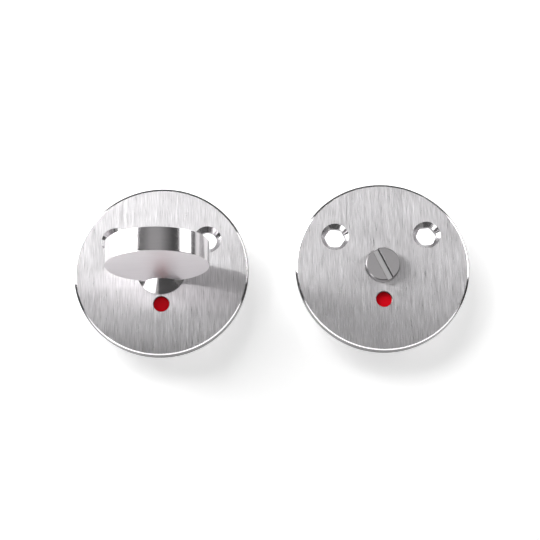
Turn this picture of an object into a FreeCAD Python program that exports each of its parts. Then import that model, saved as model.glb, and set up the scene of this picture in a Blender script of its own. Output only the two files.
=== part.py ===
import FreeCAD, Part
import math
import os

import PartDesign
import Sketcher

# Bathroom thumb turn lock: two round stainless plates that fasten to the two sides of a door.
# The inside plate carries a thumb turn, a disc standing on edge, and the outside plate carries a
# slotted release. Each turns a red and white indicator ring behind a small window.
#
# Each piece is drawn about its own turning axis: local +Z points out of the door towards the
# person, local +Y is up, and z = 0 is the plate's back face, on the door.

doc = FreeCAD.newDocument("thumb_turn_lock")

# Driving dimensions, in millimetres and degrees
sizes = {
    # Plates
    "plate_diameter": 52.0,
    "plate_thickness": 2.5,
    "bevel_width": 0.6,
    "bevel_drop": 0.29,
    "web_thickness": 1.0,
    "half_spacing": 66.0,
    # Screw holes, round in the inside plate and hexagonal in the outside plate
    "screw_spread": 27.6,
    "screw_rise": 9.6,
    "screw_hole": 5.5,
    "countersink": 8.3,
    "countersink_angle": 90.0,
    "hex_flats": 5.6,
    "hex_pilot": 5.0,
    "hex_corner": 1.1,
    # Indicator window and the ring that turns behind it
    "window_diameter": 4.7,
    "window_drop": 10.2,
    "window_break": 0.15,
    "window_margin": 0.3,
    "ring_clearance": 0.3,
    "ring_gap": 0.15,
    "film_thickness": 0.3,
    "film_margin": 0.15,
    "film_sweep": 88.0,
    "indicator_web": 1.2,
    # Journal, bush and what is stacked on the journal behind the plate
    "journal_diameter": 9.0,
    "running_clearance": 0.05,
    "bush_wall": 0.45,
    "bush_seat": 0.02,
    "bush_setback": 0.1,
    "hub_sink": 0.3,
    "axial_play": 0.1,
    "drive_flats": 7.8,
    "flat_clearance": 0.05,
    "clip_groove_diameter": 8.6,
    "clip_thickness": 1.0,
    "clip_play": 0.05,
    "clip_wall": 1.5,
    "clip_gap": 2.2,
    "journal_tail": 7.5,
    # Square spindle and its cross pin
    "square": 5.0,
    "square_clearance": 0.05,
    "square_depth": 10.0,
    "square_length": 58.0,
    "square_break": 0.5,
    "pin_diameter": 2.0,
    "pin_clearance": 0.02,
    "pin_from_tail": 3.6,
    "pin_setback": 0.3,
    # Thumb turn
    "thumb_diameter": 30.0,
    "thumb_thickness": 7.0,
    "thumb_gap": 0.5,
    "thumb_break": 0.12,
    "collar_diameter": 14.8,
    "collar_lip": 0.4,
    "collar_slope": 45.0,
    "collar_core": 5.0,
    # Slotted release
    "head_diameter": 10.2,
    "head_height": 2.4,
    "head_break": 0.25,
    "slot_width": 1.9,
    "slot_depth": 1.3,
    "slot_break": 0.2,
    "slot_lean": 24.5,
}

sheet = doc.addObject("Spreadsheet::Sheet", "Sizes")
for row, (alias, value) in enumerate(sizes.items(), start=1):
    sheet.set(f"A{row}", alias)
    sheet.set(f"B{row}", str(value))
    sheet.setAlias(f"B{row}", alias)
doc.recompute()

# Places worked out from the driving dimensions: radii from the axis, heights from the back face
plate_r = "Sizes.plate_diameter / 2"
plate_front = "Sizes.plate_thickness"
recess_floor = "(Sizes.plate_thickness - Sizes.web_thickness)"
ring_inner = "(Sizes.window_drop - Sizes.window_diameter / 2 - Sizes.window_margin)"
ring_outer = "(Sizes.window_drop + Sizes.window_diameter / 2 + Sizes.window_margin)"
hub_r = f"({ring_inner} - Sizes.ring_clearance)"
recess_r = f"({ring_outer} + Sizes.ring_clearance)"
journal_r = "Sizes.journal_diameter / 2"
bush_inner = f"({journal_r} + Sizes.running_clearance)"
bush_outer = f"({bush_inner} + Sizes.bush_wall)"
plate_bore = f"({bush_outer} + Sizes.bush_seat)"
groove_r = "Sizes.clip_groove_diameter / 2"
film_front = f"({recess_floor} - Sizes.ring_gap)"
ring_front = f"({film_front} - Sizes.film_thickness)"
web_front = "(Sizes.hub_sink - Sizes.axial_play)"
web_back = f"({web_front} - Sizes.indicator_web)"
groove_front = f"({web_back} - Sizes.clip_play)"
clip_front = f"({groove_front} - Sizes.clip_play)"
clip_back = f"({clip_front} - Sizes.clip_thickness)"
groove_back = f"({clip_back} - Sizes.clip_play)"
tail_end = f"({groove_back} - Sizes.journal_tail)"
pin_height = f"({tail_end} + Sizes.pin_from_tail)"
socket_half = "(Sizes.square / 2 + Sizes.square_clearance)"
socket_floor = f"({tail_end} + Sizes.square_depth)"
head_back = "(Sizes.plate_thickness + Sizes.axial_play)"


def start_body(label):
    body = doc.addObject("PartDesign::Body", label)
    body.Label = label
    return body


def start_sketch(body, role, name, height=None):
    """A sketch on one of the body's own origin planes, lifted off it along its normal."""
    plane = next(item for item in body.Origin.OriginFeatures if item.Role == role)
    sketch = body.newObject("Sketcher::SketchObject", name)
    sketch.AttachmentSupport = [(plane, "")]
    sketch.MapMode = "FlatFace"
    if height:
        sketch.setExpression("AttachmentOffset.Base.z", height)
    return sketch


def bind(sketch, constraint, expression):
    index = sketch.addConstraint(constraint)
    sketch.setExpression(f"Constraints[{index}]", expression)


def place_point(sketch, edge, end, x, y):
    """Hold one point of an edge at x and y, where None is on the axis."""
    for kind, place, axis in (("DistanceX", x, -2), ("DistanceY", y, -1)):
        if place is None:
            sketch.addConstraint(Sketcher.Constraint("PointOnObject", edge, end, axis))
        else:
            bind(sketch, Sketcher.Constraint(kind, -1, 1, edge, end, 1.0), place)


def draw_circle(sketch, radius, x=None, y=None):
    """A circle of the given radius, held by its centre, which is a circle's point 3."""
    start = FreeCAD.Vector(0 if x is None else 1, 0 if y is None else 1, 0)
    edge = sketch.addGeometry(Part.Circle(start, FreeCAD.Vector(0, 0, 1), 1.0))
    bind(sketch, Sketcher.Constraint("Radius", edge, 1.0), radius)
    place_point(sketch, edge, 3, x, y)


def draw_outline(sketch, corners):
    """A closed outline of straight edges. The corners start on a circle and move to their places."""
    count = len(corners)
    turn = 2 * math.pi / count
    starts = [FreeCAD.Vector(math.cos(turn * i), math.sin(turn * i), 0) for i in range(count)]
    edges = [
        sketch.addGeometry(Part.LineSegment(starts[i], starts[(i + 1) % count]))
        for i in range(count)
    ]
    for i, edge in enumerate(edges):
        following = edges[(i + 1) % count]
        sketch.addConstraint(Sketcher.Constraint("Coincident", edge, 2, following, 1))
    for edge, (x, y) in zip(edges, corners):
        place_point(sketch, edge, 1, x, y)


def draw_box(sketch, left, bottom, right, top):
    draw_outline(sketch, [(left, bottom), (right, bottom), (right, top), (left, top)])


def turn_profile(body, name, corners):
    """A turned solid: a half section in radius and height, revolved about the piece's own axis."""
    sketch = start_sketch(body, "XZ_Plane", f"{name}_section")
    draw_outline(sketch, corners)
    turned = body.newObject("PartDesign::Revolution", name)
    turned.Profile = sketch
    turned.ReferenceAxis = (sketch, ["V_Axis"])
    turned.Angle = 360
    doc.recompute()
    return turned


def pad(body, sketch, name, length):
    feature = body.newObject("PartDesign::Pad", name)
    feature.Profile = sketch
    feature.setExpression("Length", length)
    doc.recompute()
    return feature


def pocket(body, sketch, name, length=None, forward=False):
    """A cut of the given depth, towards the front if forward, or right through with no depth."""
    before = body.Shape.Volume
    feature = body.newObject("PartDesign::Pocket", name)
    feature.Profile = sketch
    if length is None:
        feature.Type = "ThroughAll"
        feature.Midplane = True
    else:
        feature.setExpression("Length", length)
        feature.Reversed = forward
    doc.recompute()
    if not body.Shape.Volume < before:
        raise RuntimeError(f"{name} cuts nothing")
    return feature


def edges_at(shape, height, radius=None):
    """The edges that lie flat at a height: the circles of a radius, or the straight ones."""
    kind = "Part::GeomCircle" if radius else "Part::GeomLine"
    names = []
    for number, edge in enumerate(shape.Edges, start=1):
        level = edge.BoundBox.ZLength < 1e-6 and abs(edge.CenterOfMass.z - height) < 1e-6
        if level and edge.Curve.TypeId == kind:
            if radius is None or abs(edge.Curve.Radius - radius) < 1e-6:
                names.append(f"Edge{number}")
    return names


def dress_edges(body, kind, name, base, edges, size):
    """A fillet or chamfer on the named edges of a feature."""
    feature = body.newObject(f"PartDesign::{kind}", name)
    feature.Base = (base, edges)
    feature.setExpression("Radius" if kind == "Fillet" else "Size", size)
    doc.recompute()
    return feature


def plate(label):
    """Turned plate: low bevel round the front, a ring-shaped recess in the back and a hub at the bore."""
    body = start_body(label)
    turn_profile(
        body,
        "plate_blank",
        [
            (plate_bore, "Sizes.hub_sink"),
            (hub_r, "Sizes.hub_sink"),
            (hub_r, recess_floor),
            (recess_r, recess_floor),
            (recess_r, None),
            (plate_r, None),
            (plate_r, f"{plate_front} - Sizes.bevel_drop"),
            (f"{plate_r} - Sizes.bevel_width", plate_front),
            (plate_bore, plate_front),
        ],
    )
    sketch = start_sketch(body, "XY_Plane", "window_outline")
    draw_circle(sketch, "Sizes.window_diameter / 2", y="-Sizes.window_drop")
    window = pocket(body, sketch, "window")
    rim = edges_at(window.Shape, sheet.plate_thickness, sheet.window_diameter / 2)
    dress_edges(body, "Chamfer", "window_break", window, rim, "Sizes.window_break")
    return body


def countersunk_holes(body, diameter):
    """Two screw holes above the middle, countersunk from the front."""
    sketch = start_sketch(body, "XY_Plane", "screw_hole_centres", plate_front)
    for side in ("", "-"):
        draw_circle(
            sketch, f"{diameter} / 2", x=f"{side}Sizes.screw_spread / 2", y="Sizes.screw_rise"
        )
    doc.recompute()
    holes = body.newObject("PartDesign::Hole", "screw_holes")
    holes.Profile = sketch
    holes.ThreadType = "None"
    holes.DepthType = "ThroughAll"
    holes.HoleCutType = "Countersink"
    holes.HoleCutCustomValues = True
    holes.setExpression("Diameter", diameter)
    holes.setExpression("HoleCutDiameter", "Sizes.countersink")
    holes.setExpression("HoleCutCountersinkAngle", "Sizes.countersink_angle")
    doc.recompute()


def hexagon_holes(body):
    """Hexagonal holes with round corners, a flat of each facing the plate's middle."""
    corner_r = "Sizes.hex_flats / sqrt(3)"
    lean = "atan2(Sizes.screw_rise; Sizes.screw_spread / 2)"
    sketch = start_sketch(body, "XY_Plane", "hexagon_outlines")
    for side in ("", "-"):
        corners = []
        for step in range(6):
            angle = f"({lean} + {30 + 60 * step} deg)"
            x = f"{side}(Sizes.screw_spread / 2 + {corner_r} * cos({angle}))"
            y = f"Sizes.screw_rise + {corner_r} * sin({angle})"
            corners.append((x, y))
        draw_outline(sketch, corners)
    cut = pocket(body, sketch, "hexagons")
    radius = sheet.hex_flats / math.sqrt(3)
    centres = [(side * sheet.screw_spread / 2, sheet.screw_rise) for side in (1, -1)]
    upright = []
    for number, edge in enumerate(cut.Shape.Edges, start=1):
        low, high = edge.BoundBox.ZMin, edge.BoundBox.ZMax
        place = edge.CenterOfMass
        reach = min(math.hypot(place.x - x, place.y - y) for x, y in centres)
        if edge.Curve.TypeId == "Part::GeomLine" and high > low and abs(reach - radius) < 1e-4:
            upright.append(f"Edge{number}")
    dress_edges(body, "Fillet", "hexagon_corners", cut, upright, "Sizes.hex_corner")


def bush(label):
    """Plain nylon bush, pressed into the plate's bore."""
    body = start_body(label)
    bush_front = f"{plate_front} - Sizes.bush_setback"
    turn_profile(
        body,
        "bush",
        [
            (bush_inner, "Sizes.hub_sink"),
            (bush_outer, "Sizes.hub_sink"),
            (bush_outer, bush_front),
            (bush_inner, bush_front),
        ],
    )
    return body


def indicator_disc(label):
    """Moulded disc: a ring that reaches into the recess, on a web with a bore with two flats."""
    body = start_body(label)
    turn_profile(
        body,
        "moulding",
        [
            (bush_inner, web_back),
            (ring_outer, web_back),
            (ring_outer, ring_front),
            (ring_inner, ring_front),
            (ring_inner, web_front),
            (bush_inner, web_front),
        ],
    )
    near = "(Sizes.drive_flats / 2 + Sizes.flat_clearance)"
    far = f"({bush_inner} + Sizes.bush_wall)"
    sketch = start_sketch(body, "XY_Plane", "drive_flat_outlines", web_back)
    for side in ("", "-"):
        draw_box(sketch, f"{side}{near}", f"-{near}", f"{side}{far}", near)
    pad(body, sketch, "drive_flats", "Sizes.indicator_web")
    return body


def red_film(label):
    """Two red sectors on the ring's front, opposite each other, so that either hand of door works."""
    body = start_body(label)
    body.AllowCompound = True
    inner = f"({ring_inner} + Sizes.film_margin)"
    outer = f"({ring_outer} - Sizes.film_margin)"
    for name, near, far in (("upper", inner, outer), ("lower", f"-{inner}", f"-{outer}")):
        sketch = start_sketch(body, "YZ_Plane", f"{name}_film_section")
        draw_box(sketch, near, ring_front, far, film_front)
        sector = body.newObject("PartDesign::Revolution", f"{name}_film")
        sector.Profile = sketch
        sector.ReferenceAxis = (sketch, ["V_Axis"])
        sector.Midplane = True
        sector.setExpression("Angle", "Sizes.film_sweep")
        doc.recompute()
    return body


def retaining_ring(label):
    """Open spring ring in the journal's groove, behind the indicator."""
    body = start_body(label)
    inner = f"({groove_r} + Sizes.clip_play)"
    outer = f"({inner} + Sizes.clip_wall)"
    ring = start_sketch(body, "XY_Plane", "ring_outline", clip_back)
    draw_circle(ring, outer)
    draw_circle(ring, inner)
    pad(body, ring, "ring", "Sizes.clip_thickness")
    half_gap = "Sizes.clip_gap / 2"
    gap = start_sketch(body, "XY_Plane", "gap_outline")
    draw_box(gap, f"-{half_gap}", None, half_gap, f"{outer} + Sizes.clip_wall")
    pocket(body, gap, "gap")
    return body


def journal_section(front):
    """The journal's half section from its tail to the given height, with the retaining groove."""
    return [
        (None, tail_end),
        (journal_r, tail_end),
        (journal_r, groove_back),
        (groove_r, groove_back),
        (groove_r, groove_front),
        (journal_r, groove_front),
        (journal_r, front),
    ]


def journal_cuts(body):
    """Two drive flats along the journal behind the bush and a square socket in its tail."""
    near = "Sizes.drive_flats / 2"
    far = "Sizes.journal_diameter"
    flats = start_sketch(body, "XY_Plane", "flat_outlines", tail_end)
    for side in ("", "-"):
        draw_box(flats, f"{side}{near}", f"-{far}", f"{side}{far}", far)
    pocket(body, flats, "flats", f"{web_front} - {tail_end}", forward=True)
    socket = start_sketch(body, "XY_Plane", "socket_outline", tail_end)
    draw_box(socket, f"-{socket_half}", f"-{socket_half}", socket_half, socket_half)
    pocket(body, socket, "socket", "Sizes.square_depth", forward=True)


def thumb_turn(label):
    """One casting: journal, conical collar and a thumb disc that stands on edge on the axis."""
    body = start_body(label)
    collar_r = "Sizes.collar_diameter / 2"
    core_r = "Sizes.collar_core / 2"
    cone_start = f"({head_back} + Sizes.collar_lip)"
    cone_end = f"({cone_start} + ({collar_r} - {core_r}) / tan(Sizes.collar_slope * 1 deg))"
    section = journal_section(head_back)
    section += [(collar_r, head_back), (collar_r, cone_start), (core_r, cone_end), (None, cone_end)]
    turn_profile(body, "spindle", section)

    thumb_r = "Sizes.thumb_diameter / 2"
    half = "Sizes.thumb_thickness / 2"
    centre = f"{plate_front} + Sizes.thumb_gap + {thumb_r}"
    sketch = start_sketch(body, "YZ_Plane", "thumb_section")
    sketch.setExpression("AttachmentOffset.Base.y", centre)
    draw_outline(
        sketch,
        [
            (f"-{half}", None),
            (half, None),
            (half, f"{thumb_r} - Sizes.thumb_break"),
            (f"{half} - Sizes.thumb_break", thumb_r),
            (f"-{half} + Sizes.thumb_break", thumb_r),
            (f"-{half}", f"{thumb_r} - Sizes.thumb_break"),
        ],
    )
    disc = body.newObject("PartDesign::Revolution", "thumb_disc")
    disc.Profile = sketch
    disc.ReferenceAxis = (sketch, ["H_Axis"])
    disc.Angle = 360
    doc.recompute()

    journal_cuts(body)
    hole = start_sketch(body, "YZ_Plane", "pin_hole_outline")
    draw_circle(hole, "Sizes.pin_diameter / 2 + Sizes.pin_clearance", y=pin_height)
    pocket(body, hole, "pin_hole")
    return body


def release_turn(label):
    """Turned release: a flat head with a slot right across it, and the same journal behind."""
    body = start_body(label)
    head_r = "Sizes.head_diameter / 2"
    head_front = f"({head_back} + Sizes.head_height)"
    section = journal_section(head_back)
    section += [
        (head_r, head_back),
        (head_r, f"{head_front} - Sizes.head_break"),
        (f"{head_r} - Sizes.head_break", head_front),
        (None, head_front),
    ]
    turn_profile(body, "release", section)
    journal_cuts(body)
    half = "Sizes.slot_width / 2"
    sketch = start_sketch(body, "XY_Plane", "slot_outline", head_front)
    draw_box(sketch, f"-{half}", "-Sizes.head_diameter", half, "Sizes.head_diameter")
    slot = pocket(body, sketch, "slot", "Sizes.slot_depth")
    front = sheet.plate_thickness + sheet.axial_play + sheet.head_height
    dress_edges(
        body, "Chamfer", "slot_break", slot, edges_at(slot.Shape, front), "Sizes.slot_break"
    )
    return body


def square_spindle(label):
    """Square bar that reaches through the door to the release, drilled for its cross pin."""
    body = start_body(label)
    half = "Sizes.square / 2"
    sketch = start_sketch(body, "XY_Plane", "square_outline", f"{socket_floor} - Sizes.square_length")
    draw_box(sketch, f"-{half}", f"-{half}", half, half)
    bar = pad(body, sketch, "bar", "Sizes.square_length")
    ends = [
        f"Edge{number}"
        for number, edge in enumerate(bar.Shape.Edges, start=1)
        if edge.BoundBox.ZLength < 1e-6 and edge.CenterOfMass.z < bar.Shape.CenterOfMass.z
    ]
    dress_edges(body, "Chamfer", "lead_in", bar, ends, "Sizes.square_break")
    hole = start_sketch(body, "YZ_Plane", "pin_hole_outline")
    draw_circle(hole, "Sizes.pin_diameter / 2 + Sizes.pin_clearance", y=pin_height)
    pocket(body, hole, "pin_hole")
    return body


def spindle_pin(label):
    """Cross pin through the journal's flats and the square spindle, a little below the surface."""
    body = start_body(label)
    length = "(Sizes.drive_flats - 2 * Sizes.pin_setback)"
    sketch = start_sketch(body, "YZ_Plane", "pin_outline", f"-{length} / 2")
    draw_circle(sketch, "Sizes.pin_diameter / 2", y=pin_height)
    pad(body, sketch, "pin", length)
    return body


def stand_up(bodies, across, lean=0.0):
    """Stand pieces up on the door: local +Z becomes -Y. The lean turns them on their own axis."""
    upright = FreeCAD.Rotation(FreeCAD.Vector(1, 0, 0), 90)
    turned = FreeCAD.Rotation(FreeCAD.Vector(0, 0, 1), lean)
    for body in bodies:
        body.Placement = FreeCAD.Placement(FreeCAD.Vector(across, 0, 0), upright * turned)


def turning_stack(half):
    """The pieces that each half carries on its journal."""
    return [
        indicator_disc(f"{half}_indicator_disc"),
        red_film(f"{half}_red_film"),
        retaining_ring(f"{half}_retaining_ring"),
    ]


# Inside half: the thumb turn, with the spindle that reaches through the door
inside_plate = plate("inside_plate")
countersunk_holes(inside_plate, "Sizes.screw_hole")
inside = [inside_plate, bush("inside_bush"), thumb_turn("thumb_turn")]
inside += turning_stack("inside")
inside += [square_spindle("square_spindle"), spindle_pin("spindle_pin")]
stand_up(inside, 0.0)

# Outside half: the slotted release, which rests part way round its turn
outside_plate = plate("outside_plate")
hexagon_holes(outside_plate)
countersunk_holes(outside_plate, "Sizes.hex_pilot")
outside_fixed = [outside_plate, bush("outside_bush")]
outside_turning = [release_turn("release_turn")] + turning_stack("outside")
stand_up(outside_fixed, sheet.half_spacing)
stand_up(outside_turning, sheet.half_spacing, sheet.slot_lean)

doc.recompute()
pieces = inside + outside_fixed + outside_turning
for item in doc.Objects:
    if "Invalid" in item.State or "Error" in item.State:
        raise RuntimeError(f"{item.Label} failed: {item.State}")
for body in pieces:
    if body.Shape.isNull() or not body.Shape.isValid():
        raise RuntimeError(f"{body.Label} has no valid shape")

os.makedirs("parts", exist_ok=True)
for body in pieces:
    body.Shape.exportStep(f"parts/{body.Label}.step")
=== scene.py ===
import math

import bpy
from mathutils import Matrix, Vector


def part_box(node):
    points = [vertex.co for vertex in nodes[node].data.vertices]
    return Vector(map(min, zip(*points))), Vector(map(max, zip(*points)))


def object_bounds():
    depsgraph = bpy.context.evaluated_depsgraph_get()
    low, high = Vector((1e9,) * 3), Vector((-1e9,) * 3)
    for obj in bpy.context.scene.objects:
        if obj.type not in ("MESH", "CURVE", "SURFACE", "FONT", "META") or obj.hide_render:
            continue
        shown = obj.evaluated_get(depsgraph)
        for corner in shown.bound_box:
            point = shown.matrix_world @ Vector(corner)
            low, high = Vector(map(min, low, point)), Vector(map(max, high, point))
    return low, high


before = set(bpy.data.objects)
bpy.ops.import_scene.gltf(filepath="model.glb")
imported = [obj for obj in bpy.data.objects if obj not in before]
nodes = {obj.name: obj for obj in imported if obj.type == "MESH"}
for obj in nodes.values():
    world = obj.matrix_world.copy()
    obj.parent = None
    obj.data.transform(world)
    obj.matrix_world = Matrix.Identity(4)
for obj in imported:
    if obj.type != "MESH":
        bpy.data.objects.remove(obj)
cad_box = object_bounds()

bl_info = {
    "name": "Bathroom thumb turn lock",
    "version": (1, 0, 0),
    "blender": (4, 5, 0),
    "location": "3D View > Sidebar > Lock",
    "description": "Finishes the two halves of a round privacy lock in a small studio",
    "category": "Object",
}

MM = 0.001
HALVES = ("inside", "outside")

# Where the finish, its painted highlight and its painted shade change on a plate, measured from its
# axis.
BEVEL_START, BEVEL_END = 25.4 * MM, 25.74 * MM
SCREW_ACROSS, SCREW_UP, COUNTERSINK_RADIUS = 13.8 * MM, 9.6 * MM, 4.15 * MM
WINDOW_DOWN, WINDOW_RADIUS = 10.2 * MM, 2.52 * MM
ZONE_EDGE = 0.05 * MM

# Where it changes on the thumb turn: above and below its middle, and along its axis.
FACE_START, FACE_END = 3.45 * MM, 3.48 * MM
COLLAR_START, COLLAR_END = 3.52 * MM, 3.55 * MM
JOURNAL_START, JOURNAL_END = -2.70 * MM, -2.65 * MM

# Where it changes on the release: to each side of the slot's middle line, down the slot, and at the
# head's edge.
SLOT_LEAN = math.radians(24.5)
WALL_SHADE_START, WALL_SHADE_END = 0.7 * MM, 0.9 * MM
SLOT_WALL, SLOT_PAST = 0.96 * MM, 0.98 * MM
SLOT_MOUTH, SLOT_DEEP = -4.8 * MM, -4.6 * MM
HEAD_RADIUS = 4.85 * MM
# Painted light on the slot's floor, and painted shade along its walls.
SLOT_FLOOR_PAINTED_LIGHT, SLOT_WALL_PAINTED_SHADE = "#F0EEEF", "#4A4748"

# Size of one line or spot of each pattern along X, Y and Z. Tool marks, grinding lines and grit are
# finer than this on real steel, and are drawn as coarse as they need to be to show.
BROAD_BRUSH = (1.6 * MM, 1.6 * MM, 22 * MM)
RIM_MARKS = (7 * MM, 7 * MM, 0.3 * MM)
FACE_MARKS = (9 * MM, 0.35 * MM, 9 * MM)
GRIT = (0.3 * MM, 0.3 * MM, 0.3 * MM)
MOULD_SPOTS = (1.0 * MM, 1.0 * MM, 1.0 * MM)
PHOSPHATE_SPOTS = (0.8 * MM, 0.8 * MM, 0.8 * MM)
DRAW_LINES = (0.6 * MM, 12 * MM, 0.6 * MM)
BROAD_SHARE = 0.1

# The finest scratches on the plates can't be seen one by one. They spread each highlight sideways.
SCRATCHES = (0.03 * MM, 0.03 * MM, 18 * MM)
SCRATCH_DEPTH, SCRATCH_FILTER = 0.025 * MM, 0.04

# Roughness of each finish, from its smoothest lines to its roughest.
BRUSHED_ROUGH = (0.27, 0.33)
BEVEL_ROUGH = 0.14
RIM_ROUGH = (0.15, 0.19)
SATIN_ROUGH = (0.42, 0.48)
BLASTED_ROUGH = (0.3, 0.36)
METAL_SPREAD, PLASTIC_SPREAD = 0.06, 0.04

# Nearly all of a noise's values lie between these two.
NOISE_LOW, NOISE_HIGH = 0.3, 0.7

# How strongly the board glows, how far its bright zone behind each plate's holes reaches, and how
# strongly that zone glows in reflections.
BOARD_GLOW, HOLE_ZONE, HOLE_GLOW = 0.44, 21 * MM, 0.15
# Half the width of the board and of the floor, and the card's edges, in metres.
BOARD_HALF, FLOOR_HALF = 0.25, 3.0
CARD_LEFT, CARD_RIGHT, CARD_FRONT, CARD_BACK, CARD_HEIGHT = (
    -20 * MM, 130 * MM, -60 * MM, 5 * MM, -90 * MM
)

# Each lamp's azimuth and elevation in degrees, distance, width and height in metres and power in
# watts, and whether it lights matt faces and shows in metal.
LAMPS = (
    ("left_side_panel", -80, 26, 0.235, 0.13, 0.155, 0.38, True, True),
    ("left_front_panel", -53, 32, 0.7, 0.3, 0.42, 2.6, True, True),
    ("right_panel", 66, 25.5, 0.7, 0.34, 0.42, 1.3, True, True),
    ("back_panel", 155, 35, 0.7, 0.5, 0.5, 2.5, True, True),
    ("matt_key_panel", -28, 46, 0.8, 0.4, 0.4, 2.6, True, False),
    ("low_front_panel", 0, -25, 0.75, 2.0, 0.55, 5.4, False, True),
    ("low_left_panel", -66, -43, 0.6, 0.4, 0.36, 1.6, False, True),
    ("back_right_panel", 108, 45, 0.6, 0.42, 0.42, 1.2, False, True),
)


def linear(hex_colour):
    """An sRGB hex value as linear red, green, blue and alpha."""
    channels = [int(hex_colour[i:i + 2], 16) / 255 for i in (1, 3, 5)]
    steps = [c / 12.92 if c <= 0.04045 else ((c + 0.055) / 1.055) ** 2.4 for c in channels]
    return (*steps, 1.0)


def toned(colour, share):
    """A colour made darker or lighter by a share."""
    return (*(min(share * c, 1.0) for c in colour[:3]), 1.0)


def add_node(tree, kind, settings=None, inputs=None):
    """Add a node, give it its settings, and set or link its inputs."""
    made = tree.nodes.new(kind)
    for name, value in (settings or {}).items():
        setattr(made, name, value)
    for key, value in (inputs or {}).items():
        if isinstance(value, bpy.types.NodeSocket):
            tree.links.new(value, made.inputs[key])
        else:
            made.inputs[key].default_value = value
    return made


class LockFinish(bpy.types.PropertyGroup):
    """Colours and grain of the lock's finishes."""

    plate_colour: bpy.props.FloatVectorProperty(
        name="Plate steel", description="Colour of the brushed plates",
        subtype="COLOR", size=4, min=0, max=1, default=linear("#D7D5D7"),
    )
    turn_colour: bpy.props.FloatVectorProperty(
        name="Turn steel", description="Colour of the thumb turn and the release",
        subtype="COLOR", size=4, min=0, max=1, default=linear("#CECBCD"),
    )
    zinc_colour: bpy.props.FloatVectorProperty(
        name="Zinc plate", description="Colour of the plated spindle and pin",
        subtype="COLOR", size=4, min=0, max=1, default=linear("#C3C5C7"),
    )
    spring_colour: bpy.props.FloatVectorProperty(
        name="Spring steel", description="Colour of the phosphated retaining rings",
        subtype="COLOR", size=4, min=0, max=1, default=linear("#6F7073"),
    )
    nylon_colour: bpy.props.FloatVectorProperty(
        name="Nylon", description="Colour of the bushes",
        subtype="COLOR", size=4, min=0, max=1, default=linear("#E8E6DF"),
    )
    white_colour: bpy.props.FloatVectorProperty(
        name="White acetal", description="Colour of the indicator discs",
        subtype="COLOR", size=4, min=0, max=1, default=linear("#EEEEEB"),
    )
    red_colour: bpy.props.FloatVectorProperty(
        name="Red film", description="Colour of the red fields behind the windows",
        subtype="COLOR", size=4, min=0, max=1, default=linear("#F40F22"),
    )
    grain_width: bpy.props.FloatProperty(
        name="Grain width", description="Width of one brush line on the plates",
        unit="LENGTH", min=0.0001, max=0.002, default=0.18 * MM,
    )
    grain_length: bpy.props.FloatProperty(
        name="Grain length", description="Length of one brush line on the plates",
        unit="LENGTH", min=0.001, max=0.05, default=5 * MM,
    )


class LockStudio(bpy.types.PropertyGroup):
    """Camera and backdrop."""

    camera_place: bpy.props.FloatVectorProperty(
        name="Camera", description="Where the camera stands",
        subtype="XYZ", unit="LENGTH", size=3, default=(28.5 * MM, -361.7 * MM, -112.0 * MM),
    )
    camera_pan: bpy.props.FloatProperty(
        name="Pan", description="Turn of the camera about the upright axis",
        subtype="ANGLE", default=math.radians(-0.62),
    )
    camera_tilt: bpy.props.FloatProperty(
        name="Tilt", description="How far the camera looks up",
        subtype="ANGLE", default=math.radians(17.25),
    )
    camera_roll: bpy.props.FloatProperty(
        name="Roll", description="Turn of the camera about its own line of sight",
        subtype="ANGLE", default=math.radians(-1.41),
    )
    lens: bpy.props.FloatProperty(
        name="Lens", description="Focal length on a 36 mm sensor",
        unit="CAMERA", default=84.05,
    )
    board_gap: bpy.props.FloatProperty(
        name="Board gap", description="Distance from the plates' backs to the white board",
        unit="LENGTH", default=5 * MM,
    )
    floor_drop: bpy.props.FloatProperty(
        name="Floor drop", description="Height of the turning axis above the floor",
        unit="LENGTH", default=0.75,
    )


def middle_across(box):
    """Middle of a box from left to right, which is where a round piece has its axis."""
    low, high = box
    return (low.x + high.x) / 2


def new_material(name):
    """An empty node material and its tree."""
    material = bpy.data.materials.new(name)
    material.use_nodes = True
    material.node_tree.nodes.clear()
    return material, material.node_tree


def finish_material(tree, inputs):
    """Close a tree with its Principled shader."""
    shader = add_node(tree, "ShaderNodeBsdfPrincipled", {}, inputs)
    add_node(tree, "ShaderNodeOutputMaterial", {}, {"Surface": shader.outputs[0]})


def streaks(tree, place, size, detail):
    """Noise drawn out to lines, with the size of one line along each axis in metres."""
    steps = tuple(1 / length for length in size)
    scaled = add_node(
        tree, "ShaderNodeVectorMath", {"operation": "MULTIPLY"}, {0: place, 1: steps}
    )
    lines = add_node(
        tree, "ShaderNodeTexNoise", {"noise_dimensions": "3D"},
        {"Vector": scaled.outputs[0], "Scale": 1.0, "Detail": detail, "Roughness": 0.6},
    )
    return lines.outputs[0]


def round_zone(tree, place, centre, radius):
    """1 within a radius of an axis along Y and 0 beyond it, with a soft edge."""
    flat = add_node(
        tree, "ShaderNodeVectorMath", {"operation": "MULTIPLY"}, {0: place, 1: (1, 0, 1)}
    )
    reach = add_node(
        tree, "ShaderNodeVectorMath", {"operation": "DISTANCE"}, {0: flat.outputs[0], 1: centre}
    )
    zone = add_node(
        tree, "ShaderNodeMapRange", {},
        {"Value": reach.outputs["Value"],
         "From Min": radius - ZONE_EDGE, "From Max": radius + ZONE_EDGE,
         "To Min": 1.0, "To Max": 0.0},
    )
    return zone.outputs[0]


# Turns a direction of the piece with it into the world, for the tangent of a brushed face.
PIECE_TO_WORLD = {"vector_type": "VECTOR", "convert_from": "OBJECT", "convert_to": "WORLD"}


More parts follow.
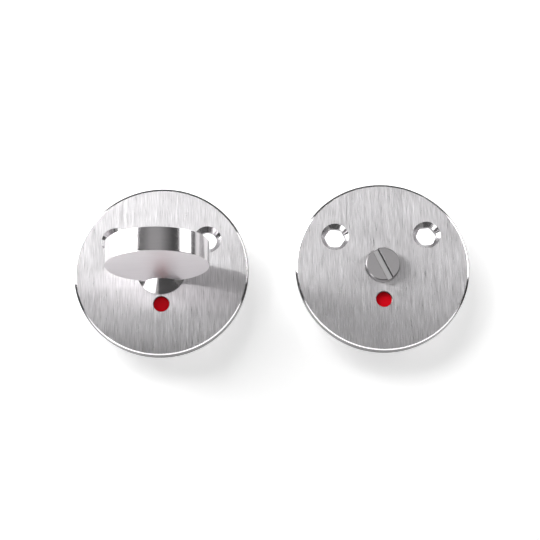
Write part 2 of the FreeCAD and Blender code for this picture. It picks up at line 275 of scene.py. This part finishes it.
def brushed_plate(name, colour, finish, middle):
    """304 stainless sheet, ground up and down on a belt.

    Highlights smear sideways across upright lines. The turned bevel and the countersinks are
    smoother and catch light as thin bright rings, and the bevel is also painted lighter as a
    painted highlight. The side wall and the window's edge are painted darker as painted shade.
    """
    material, tree = new_material(name)
    place = add_node(tree, "ShaderNodeTexCoord").outputs["Object"]
    # Belt lines are under 0.1 mm wide, so they are drawn coarser than that to show.
    fine = streaks(tree, place, (finish.grain_width, finish.grain_width, finish.grain_length), 2.0)
    broad = streaks(tree, place, BROAD_BRUSH, 1.0)
    grain = add_node(
        tree, "ShaderNodeMix", {"data_type": "FLOAT"}, {0: BROAD_SHARE, 2: fine, 3: broad}
    ).outputs[0]

    bevel = add_node(
        tree, "ShaderNodeMath", {"operation": "SUBTRACT"},
        {0: 1.0, 1: round_zone(tree, place, (middle, 0, 0), BEVEL_START)},
    ).outputs[0]
    turned = bevel
    for across in (-SCREW_ACROSS, SCREW_ACROSS):
        hole = round_zone(tree, place, (middle + across, 0, SCREW_UP), COUNTERSINK_RADIUS)
        turned = add_node(
            tree, "ShaderNodeMath", {"operation": "MAXIMUM"}, {0: turned, 1: hole}
        ).outputs[0]

    brushed_rough = add_node(
        tree, "ShaderNodeMapRange", {},
        {"Value": grain, "From Min": NOISE_LOW, "From Max": NOISE_HIGH,
         "To Min": BRUSHED_ROUGH[0], "To Max": BRUSHED_ROUGH[1]},
    ).outputs[0]
    rough = add_node(
        tree, "ShaderNodeMix", {"data_type": "FLOAT"},
        {0: turned, 2: brushed_rough, 3: BEVEL_ROUGH},
    ).outputs[0]

    # The bevel is polished and painted lighter, as a painted highlight. The plate's side wall and
    # the window's edge are painted darker, as painted shade.
    dark, polish_and_highlight = toned(colour, 0.54), toned(colour, 1.18)
    painted_shade_wall, painted_shade_window_edge = toned(colour, 0.25), toned(colour, 0.5)
    tone = add_node(
        tree, "ShaderNodeMapRange", {},
        {"Value": grain, "From Min": NOISE_LOW, "From Max": NOISE_HIGH},
    ).outputs[0]
    base = add_node(
        tree, "ShaderNodeMix", {"data_type": "RGBA"}, {0: tone, 6: dark, 7: tuple(colour)}
    ).outputs[2]
    base = add_node(
        tree, "ShaderNodeMix", {"data_type": "RGBA"}, {0: bevel, 6: base, 7: polish_and_highlight}
    ).outputs[2]
    # Beyond the bevel, the plate's side wall is painted darker, as painted shade.
    within = round_zone(tree, place, (middle, 0, 0), BEVEL_END)
    base = add_node(
        tree, "ShaderNodeMix", {"data_type": "RGBA"}, {0: within, 6: painted_shade_wall, 7: base}
    ).outputs[2]
    # Round the window, the edge is painted darker, as painted shade.
    window = round_zone(tree, place, (middle, 0, -WINDOW_DOWN), WINDOW_RADIUS)
    base = add_node(
        tree, "ShaderNodeMix", {"data_type": "RGBA"}, {0: window, 6: base, 7: painted_shade_window_edge}
    ).outputs[2]

    smear = add_node(
        tree, "ShaderNodeMix", {"data_type": "VECTOR"}, {0: turned, 4: (1, 0, 0), 5: (0, 1, 0)}
    ).outputs[1]
    tangent = add_node(tree, "ShaderNodeVectorTransform", PIECE_TO_WORLD, {0: smear}).outputs[0]
    scratches = streaks(tree, place, SCRATCHES, 0.0)
    ground = add_node(
        tree, "ShaderNodeMath", {"operation": "SUBTRACT"}, {0: 1.0, 1: turned}
    ).outputs[0]
    relief = add_node(
        tree, "ShaderNodeBump", {},
        {"Strength": ground, "Distance": SCRATCH_DEPTH, "Filter Width": SCRATCH_FILTER,
         "Height": scratches},
    ).outputs[0]
    finish_material(tree, {
        "Base Color": base, "Metallic": 1.0, "Roughness": rough, "Anisotropic": 1.0,
        "Tangent": tangent, "Normal": relief,
    })
    return material


def turned_thumb(name, colour):
    """Stainless bar, turned on its rim and collar and satin ground on its flat faces.

    The rim and the collar mirror the lamps as sharp upright bands. The faces are soft, and are
    painted paler than the rim, as painted light.
    """
    material, tree = new_material(name)
    place = add_node(tree, "ShaderNodeTexCoord").outputs["Object"]
    axes = add_node(tree, "ShaderNodeSeparateXYZ", {}, {0: place})
    height = add_node(
        tree, "ShaderNodeMath", {"operation": "ABSOLUTE"}, {0: axes.outputs["Z"]}
    ).outputs[0]
    face = add_node(
        tree, "ShaderNodeMapRange", {},
        {"Value": height, "From Min": FACE_START, "From Max": FACE_END},
    ).outputs[0]
    collar = add_node(
        tree, "ShaderNodeMapRange", {},
        {"Value": height, "From Min": COLLAR_START, "From Max": COLLAR_END},
    ).outputs[0]
    journal = add_node(
        tree, "ShaderNodeMapRange", {},
        {"Value": axes.outputs["Y"], "From Min": JOURNAL_START, "From Max": JOURNAL_END},
    ).outputs[0]
    turned = add_node(
        tree, "ShaderNodeMath", {"operation": "MAXIMUM"}, {0: collar, 1: journal}
    ).outputs[0]
    flat = add_node(
        tree, "ShaderNodeMath", {"operation": "SUBTRACT"}, {0: face, 1: collar}
    ).outputs[0]

    rim_lines = streaks(tree, place, RIM_MARKS, 2.0)
    face_lines = streaks(tree, place, FACE_MARKS, 2.0)
    lines = add_node(
        tree, "ShaderNodeMix", {"data_type": "FLOAT"}, {0: face, 2: rim_lines, 3: face_lines}
    ).outputs[0]
    smooth = add_node(
        tree, "ShaderNodeMapRange", {},
        {"Value": lines, "From Min": NOISE_LOW, "From Max": NOISE_HIGH,
         "To Min": RIM_ROUGH[0], "To Max": RIM_ROUGH[1]},
    ).outputs[0]
    satin = add_node(
        tree, "ShaderNodeMapRange", {},
        {"Value": lines, "From Min": NOISE_LOW, "From Max": NOISE_HIGH,
         "To Min": SATIN_ROUGH[0], "To Max": SATIN_ROUGH[1]},
    ).outputs[0]
    rough = add_node(
        tree, "ShaderNodeMix", {"data_type": "FLOAT"}, {0: flat, 2: smooth, 3: satin}
    ).outputs[0]

    tone = add_node(
        tree, "ShaderNodeMapRange", {},
        {"Value": lines, "From Min": NOISE_LOW, "From Max": NOISE_HIGH},
    ).outputs[0]
    # The flat faces are painted paler than the rim, as painted light.
    dark, pale = toned(colour, 0.94), toned(colour, 1.3)
    pale_dark = toned(pale, 0.94)
    bright = add_node(
        tree, "ShaderNodeMix", {"data_type": "RGBA"}, {0: tone, 6: dark, 7: tuple(colour)}
    ).outputs[2]
    ground = add_node(
        tree, "ShaderNodeMix", {"data_type": "RGBA"}, {0: tone, 6: pale_dark, 7: pale}
    ).outputs[2]
    base = add_node(
        tree, "ShaderNodeMix", {"data_type": "RGBA"}, {0: flat, 6: bright, 7: ground}
    ).outputs[2]

    smear = add_node(
        tree, "ShaderNodeMix", {"data_type": "VECTOR"}, {0: face, 4: (0, 0, 1), 5: (1, 0, 0)}
    ).outputs[1]
    smear = add_node(
        tree, "ShaderNodeMix", {"data_type": "VECTOR"}, {0: turned, 4: smear, 5: (0, 1, 0)}
    ).outputs[1]
    tangent = add_node(tree, "ShaderNodeVectorTransform", PIECE_TO_WORLD, {0: smear}).outputs[0]
    finish_material(tree, {
        "Base Color": base, "Metallic": 1.0, "Roughness": rough, "Anisotropic": 0.3,
        "Tangent": tangent,
    })
    return material


def satin_release(name, colour, middle):
    """Stainless bar, satin blasted on its face.

    The face is an even soft grey. The slot's floor is painted light, and painted shade runs
    along its walls.
    """
    material, tree = new_material(name)
    place = add_node(tree, "ShaderNodeTexCoord").outputs["Object"]
    centred = add_node(
        tree, "ShaderNodeVectorMath", {"operation": "SUBTRACT"}, {0: place, 1: (middle, 0, 0)}
    ).outputs[0]
    aside = add_node(
        tree, "ShaderNodeVectorMath", {"operation": "DOT_PRODUCT"},
        {0: centred, 1: (math.cos(SLOT_LEAN), 0, math.sin(SLOT_LEAN))},
    ).outputs["Value"]
    off = add_node(tree, "ShaderNodeMath", {"operation": "ABSOLUTE"}, {0: aside}).outputs[0]
    depth = add_node(tree, "ShaderNodeSeparateXYZ", {}, {0: place}).outputs["Y"]
    deep = add_node(
        tree, "ShaderNodeMapRange", {},
        {"Value": depth, "From Min": SLOT_MOUTH, "From Max": SLOT_DEEP},
    ).outputs[0]
    within = add_node(
        tree, "ShaderNodeMapRange", {},
        {"Value": off, "From Min": SLOT_WALL, "From Max": SLOT_PAST, "To Min": 1.0, "To Max": 0.0},
    ).outputs[0]
    slot = add_node(
        tree, "ShaderNodeMath", {"operation": "MULTIPLY"}, {0: deep, 1: within}
    ).outputs[0]
    wall = add_node(
        tree, "ShaderNodeMapRange", {},
        {"Value": off, "From Min": WALL_SHADE_START, "From Max": WALL_SHADE_END},
    ).outputs[0]
    # Painted shade along both walls of the slot.
    slot_wall_shade = add_node(
        tree, "ShaderNodeMath", {"operation": "MULTIPLY"}, {0: wall, 1: slot}
    ).outputs[0]

    speckle = streaks(tree, place, GRIT, 2.0)
    rough = add_node(
        tree, "ShaderNodeMapRange", {},
        {"Value": speckle, "From Min": NOISE_LOW, "From Max": NOISE_HIGH,
         "To Min": BLASTED_ROUGH[0], "To Max": BLASTED_ROUGH[1]},
    ).outputs[0]
    dark, side = toned(colour, 0.94), toned(colour, 0.45)
    base = add_node(
        tree, "ShaderNodeMix", {"data_type": "RGBA"}, {0: speckle, 6: dark, 7: tuple(colour)}
    ).outputs[2]
    # The slot's floor is painted lighter, as painted light.
    base = add_node(
        tree, "ShaderNodeMix", {"data_type": "RGBA"}, {0: slot, 6: base, 7: linear(SLOT_FLOOR_PAINTED_LIGHT)}
    ).outputs[2]
    base = add_node(
        tree, "ShaderNodeMix", {"data_type": "RGBA"}, {0: slot_wall_shade, 6: base, 7: linear(SLOT_WALL_PAINTED_SHADE)}
    ).outputs[2]
    # Beyond the face, the head's edge and side are painted darker, as painted shade.
    head = round_zone(tree, place, (middle, 0, 0), HEAD_RADIUS)
    base = add_node(
        tree, "ShaderNodeMix", {"data_type": "RGBA"}, {0: head, 6: side, 7: base}
    ).outputs[2]
    finish_material(tree, {"Base Color": base, "Metallic": 1.0, "Roughness": rough})
    return material


def plain_metal(name, colour, roughness, size):
    """Plated or phosphated steel with a faint mottle of the given size."""
    material, tree = new_material(name)
    place = add_node(tree, "ShaderNodeTexCoord").outputs["Object"]
    mottle = streaks(tree, place, size, 3.0)
    rough = add_node(
        tree, "ShaderNodeMapRange", {},
        {"Value": mottle, "From Min": NOISE_LOW, "From Max": NOISE_HIGH,
         "To Min": roughness - METAL_SPREAD, "To Max": roughness + METAL_SPREAD},
    ).outputs[0]
    dark = toned(colour, 0.85)
    base = add_node(
        tree, "ShaderNodeMix", {"data_type": "RGBA"}, {0: mottle, 6: dark, 7: tuple(colour)}
    ).outputs[2]
    finish_material(tree, {"Base Color": base, "Metallic": 1.0, "Roughness": rough})
    return material


def moulded_plastic(name, colour, roughness, gloss):
    """Moulded or cast plastic with a faint unevenness of about 1 mm."""
    material, tree = new_material(name)
    place = add_node(tree, "ShaderNodeTexCoord").outputs["Object"]
    mottle = streaks(tree, place, MOULD_SPOTS, 3.0)
    rough = add_node(
        tree, "ShaderNodeMapRange", {},
        {"Value": mottle, "From Min": NOISE_LOW, "From Max": NOISE_HIGH,
         "To Min": roughness - PLASTIC_SPREAD, "To Max": roughness + PLASTIC_SPREAD},
    ).outputs[0]
    dark = toned(colour, 0.92)
    base = add_node(
        tree, "ShaderNodeMix", {"data_type": "RGBA"}, {0: mottle, 6: dark, 7: tuple(colour)}
    ).outputs[2]
    finish_material(tree, {
        "Base Color": base, "Roughness": rough, "Specular IOR Level": gloss,
    })
    return material


def dress(node, material):
    """Give a CAD node its finish."""
    nodes[node].data.materials.clear()
    nodes[node].data.materials.append(material)


class LOCK_OT_plates(bpy.types.Operator):
    """Give both plates their brushed steel"""

    bl_idname = "lock.plates"
    bl_label = "Plates"

    def execute(self, context):
        finish = context.scene.lock_finish
        for half in HALVES:
            middle = middle_across(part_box(f"{half}_plate"))
            steel = brushed_plate(
                f"brushed_stainless_{half}", finish.plate_colour, finish, middle
            )
            dress(f"{half}_plate", steel)
        return {"FINISHED"}


class LOCK_OT_turns(bpy.types.Operator):
    """Give the thumb turn and the slotted release their turned steel"""

    bl_idname = "lock.turns"
    bl_label = "Thumb turn and release"

    def execute(self, context):
        colour = context.scene.lock_finish.turn_colour
        middle = middle_across(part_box("release_turn"))
        dress("thumb_turn", turned_thumb("turned_stainless", colour))
        dress("release_turn", satin_release("satin_stainless", colour, middle))
        return {"FINISHED"}


class LOCK_OT_indicators(bpy.types.Operator):
    """Give the indicator discs their white and red"""

    bl_idname = "lock.indicators"
    bl_label = "Indicators"

    def execute(self, context):
        finish = context.scene.lock_finish
        # Moulded acetal is an even white with a soft, slightly waxy sheen.
        white = moulded_plastic("moulded_acetal", finish.white_colour, 0.4, 0.5)
        # Cast film is a deep, full red, with little glare so that it reads through the window.
        red = moulded_plastic("red_gloss_film", finish.red_colour, 0.3, 0.03)
        for half in HALVES:
            dress(f"{half}_indicator_disc", white)
            dress(f"{half}_red_film", red)
        return {"FINISHED"}


class LOCK_OT_bearings(bpy.types.Operator):
    """Give the bushes, retaining rings, spindle and pin their finishes"""

    bl_idname = "lock.bearings"
    bl_label = "Bushes, rings and spindle"

    def execute(self, context):
        finish = context.scene.lock_finish
        # Moulded natural nylon is milky and matt.
        nylon = moulded_plastic("natural_nylon", finish.nylon_colour, 0.5, 0.5)
        # Phosphated spring steel is dark, dull and faintly mottled.
        spring = plain_metal(
            "phosphated_spring_steel", finish.spring_colour, 0.5, PHOSPHATE_SPOTS
        )
        # Drawn, zinc plated bar is a cool grey with faint lines along its length.
        zinc = plain_metal("zinc_plated_steel", finish.zinc_colour, 0.32, DRAW_LINES)
        for half in HALVES:
            dress(f"{half}_bush", nylon)
            dress(f"{half}_retaining_ring", spring)
        dress("square_spindle", zinc)
        dress("spindle_pin", zinc)
        return {"FINISHED"}


def panel(name, target, azimuth, elevation, distance, width, height, power):
    """A soft panel light that faces the lock, placed by its angles as seen from the lock."""
    a, e = math.radians(azimuth), math.radians(elevation)
    out = Vector((math.sin(a) * math.cos(e), -math.cos(a) * math.cos(e), math.sin(e)))
    light = bpy.data.lights.new(name, "AREA")
    light.shape = "RECTANGLE"
    light.size = width
    light.size_y = height
    light.energy = power
    lamp = bpy.data.objects.new(name, light)
    lamp.location = target + out * distance
    lamp.rotation_euler = out.to_track_quat("Z", "Y").to_euler()
    bpy.context.scene.collection.objects.link(lamp)
    return lamp


def sheet_object(name, corners, material):
    """A flat four-cornered sheet for the stage."""
    mesh = bpy.data.meshes.new(name)
    mesh.from_pydata(corners, [], [(0, 1, 2, 3)])
    mesh.materials.append(material)
    sheet = bpy.data.objects.new(name, mesh)
    bpy.context.scene.collection.objects.link(sheet)
    return sheet


def matt_sheet(name, colour):
    """Matt paint or paper of one colour, for the stage."""
    material, tree = new_material(name)
    matt = add_node(tree, "ShaderNodeBsdfDiffuse", {}, {"Color": linear(colour)})
    add_node(tree, "ShaderNodeOutputMaterial", {}, {"Surface": matt.outputs[0]})
    return material


def white_board(middles):
    """Matt white board: white to the camera and in reflections, brightest behind the plates' holes,
    and clear from behind."""
    material, tree = new_material("matt_white_board")
    rays = add_node(tree, "ShaderNodeLightPath")
    seen = rays.outputs["Is Camera Ray"]
    for kind in ("Is Glossy Ray", "Is Transmission Ray"):
        seen = add_node(
            tree, "ShaderNodeMath", {"operation": "MAXIMUM"}, {0: seen, 1: rays.outputs[kind]}
        ).outputs[0]
    behind = add_node(tree, "ShaderNodeNewGeometry").outputs["Backfacing"]
    shown = add_node(
        tree, "ShaderNodeMath", {"operation": "SUBTRACT", "use_clamp": True}, {0: seen, 1: behind}
    ).outputs[0]
    matt = add_node(tree, "ShaderNodeBsdfDiffuse", {}, {"Color": linear("#F4F4F4")})
    place = add_node(tree, "ShaderNodeTexCoord").outputs["Object"]
    near = 0.0
    for middle in middles:
        zone = round_zone(tree, place, (middle, 0, 0), HOLE_ZONE)
        near = add_node(
            tree, "ShaderNodeMath", {"operation": "MAXIMUM"}, {0: near, 1: zone}
        ).outputs[0]
    through = add_node(
        tree, "ShaderNodeMapRange", {},
        {"Value": rays.outputs["Is Camera Ray"], "To Min": HOLE_GLOW, "To Max": 1.0},
    ).outputs[0]
    level = add_node(
        tree, "ShaderNodeMix", {"data_type": "FLOAT"}, {0: near, 2: BOARD_GLOW, 3: through}
    ).outputs[0]
    glow = add_node(
        tree, "ShaderNodeEmission", {}, {"Color": linear("#FFFFFF"), "Strength": level}
    )
    white = add_node(tree, "ShaderNodeAddShader", {}, {0: matt.outputs[0], 1: glow.outputs[0]})
    clear = add_node(tree, "ShaderNodeBsdfTransparent")
    mixed = add_node(
        tree, "ShaderNodeMixShader", {}, {0: shown, 1: clear.outputs[0], 2: white.outputs[0]}
    )
    add_node(tree, "ShaderNodeOutputMaterial", {}, {"Surface": mixed.outputs[0]})
    return material


def studio_room():
    """Dim room: lightest straight ahead and behind, darker to both sides and overhead."""
    world = bpy.data.worlds.new("studio_room")
    world.use_nodes = True
    tree = world.node_tree
    tree.nodes.clear()
    sight = add_node(tree, "ShaderNodeTexCoord").outputs["Generated"]
    compass = add_node(tree, "ShaderNodeSeparateXYZ", {}, {0: sight})
    ahead_level, side_level, overhead_share = 0.45, 0.08, 0.25
    aside = add_node(
        tree, "ShaderNodeMath", {"operation": "ABSOLUTE"}, {0: compass.outputs["X"]}
    ).outputs[0]
    sides = add_node(
        tree, "ShaderNodeMapRange", {},
        {"Value": aside, "From Min": 0.15, "From Max": 0.6,
         "To Min": ahead_level, "To Max": side_level},
    ).outputs[0]
    overhead = add_node(
        tree, "ShaderNodeMapRange", {},
        {"Value": compass.outputs["Z"], "From Min": 0.55, "From Max": 0.85,
         "To Min": 1.0, "To Max": overhead_share},
    ).outputs[0]
    level = add_node(
        tree, "ShaderNodeMath", {"operation": "MULTIPLY"}, {0: sides, 1: overhead}
    ).outputs[0]
    room = add_node(
        tree, "ShaderNodeBackground", {}, {"Color": linear("#FFFFFF"), "Strength": level}
    )
    add_node(tree, "ShaderNodeOutputWorld", {}, {"Surface": room.outputs[0]})
    return world


def studio_camera(studio):
    """The camera, below the lock and looking up at it."""
    optics = bpy.data.cameras.new("camera")
    optics.sensor_width = 36.0
    optics.lens = studio.lens
    optics.clip_start, optics.clip_end = 0.01, 20.0
    camera = bpy.data.objects.new("camera", optics)
    bpy.context.scene.collection.objects.link(camera)
    camera.matrix_world = (
        Matrix.Translation(studio.camera_place)
        @ Matrix.Rotation(studio.camera_pan, 4, "Z")
        @ Matrix.Rotation(math.pi / 2 + studio.camera_tilt, 4, "X")
        @ Matrix.Rotation(studio.camera_roll, 4, "Z")
    )
    return camera


class LOCK_OT_studio(bpy.types.Operator):
    """Set up the floor, the white board, the lights and the camera"""

    bl_idname = "lock.studio"
    bl_label = "Studio"

    def execute(self, context):
        scene = context.scene
        studio = scene.lock_studio
        target = Vector((middle_across(cad_box), 0, 0))

        drop, reach = -studio.floor_drop, FLOOR_HALF
        floor = sheet_object(
            "floor",
            [(-reach, -reach, drop), (reach, -reach, drop),
             (reach, reach, drop), (-reach, reach, drop)],
            matt_sheet("matt_pale_floor", "#E4E4E2"),
        )
        gap, wide = studio.board_gap, BOARD_HALF
        left, right = target.x - wide, target.x + wide
        board = sheet_object(
            "white_board",
            [(left, gap, -wide), (right, gap, -wide), (right, gap, wide), (left, gap, wide)],
            white_board([middle_across(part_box(f"{half}_plate")) for half in HALVES]),
        )
        # The card under the plates keeps the upper walls of the countersinks dark.
        card = sheet_object(
            "black_card",
            [(CARD_LEFT, CARD_FRONT, CARD_HEIGHT), (CARD_RIGHT, CARD_FRONT, CARD_HEIGHT),
             (CARD_RIGHT, CARD_BACK, CARD_HEIGHT), (CARD_LEFT, CARD_BACK, CARD_HEIGHT)],
            matt_sheet("black_card", "#4A4A4A"),
        )
        card.visible_camera = False
        card.visible_shadow = False
        card.visible_diffuse = False

        for name, azimuth, elevation, distance, width, height, power, matt, metal in LAMPS:
            lamp = panel(name, target, azimuth, elevation, distance, width, height, power)
            lamp.visible_diffuse = matt
            lamp.visible_glossy = metal

        scene.world = studio_room()
        scene.camera = studio_camera(studio)
        scene.view_settings.view_transform = "Standard"
        return {"FINISHED"}


class LOCK_PT_panel(bpy.types.Panel):
    """The lock's steps and settings in the sidebar"""

    bl_idname = "LOCK_PT_panel"
    bl_label = "Thumb turn lock"
    bl_space_type = "VIEW_3D"
    bl_region_type = "UI"
    bl_category = "Lock"

    def draw(self, context):
        for operator in OPERATORS:
            self.layout.operator(operator.bl_idname)
        for group in (context.scene.lock_finish, context.scene.lock_studio):
            box = self.layout.box()
            for name in group.__annotations__:
                box.prop(group, name)


OPERATORS = (LOCK_OT_plates, LOCK_OT_turns, LOCK_OT_indicators, LOCK_OT_bearings, LOCK_OT_studio)
CLASSES = (LockFinish, LockStudio) + OPERATORS + (LOCK_PT_panel,)


def register():
    for item in CLASSES:
        bpy.utils.register_class(item)
    bpy.types.Scene.lock_finish = bpy.props.PointerProperty(type=LockFinish)
    bpy.types.Scene.lock_studio = bpy.props.PointerProperty(type=LockStudio)


def unregister():
    del bpy.types.Scene.lock_studio
    del bpy.types.Scene.lock_finish
    for item in reversed(CLASSES):
        bpy.utils.unregister_class(item)


def main():
    register()
    bpy.ops.lock.plates()
    bpy.ops.lock.turns()
    bpy.ops.lock.indicators()
    bpy.ops.lock.bearings()
    bpy.ops.lock.studio()


if __name__ == "__main__":
    main()
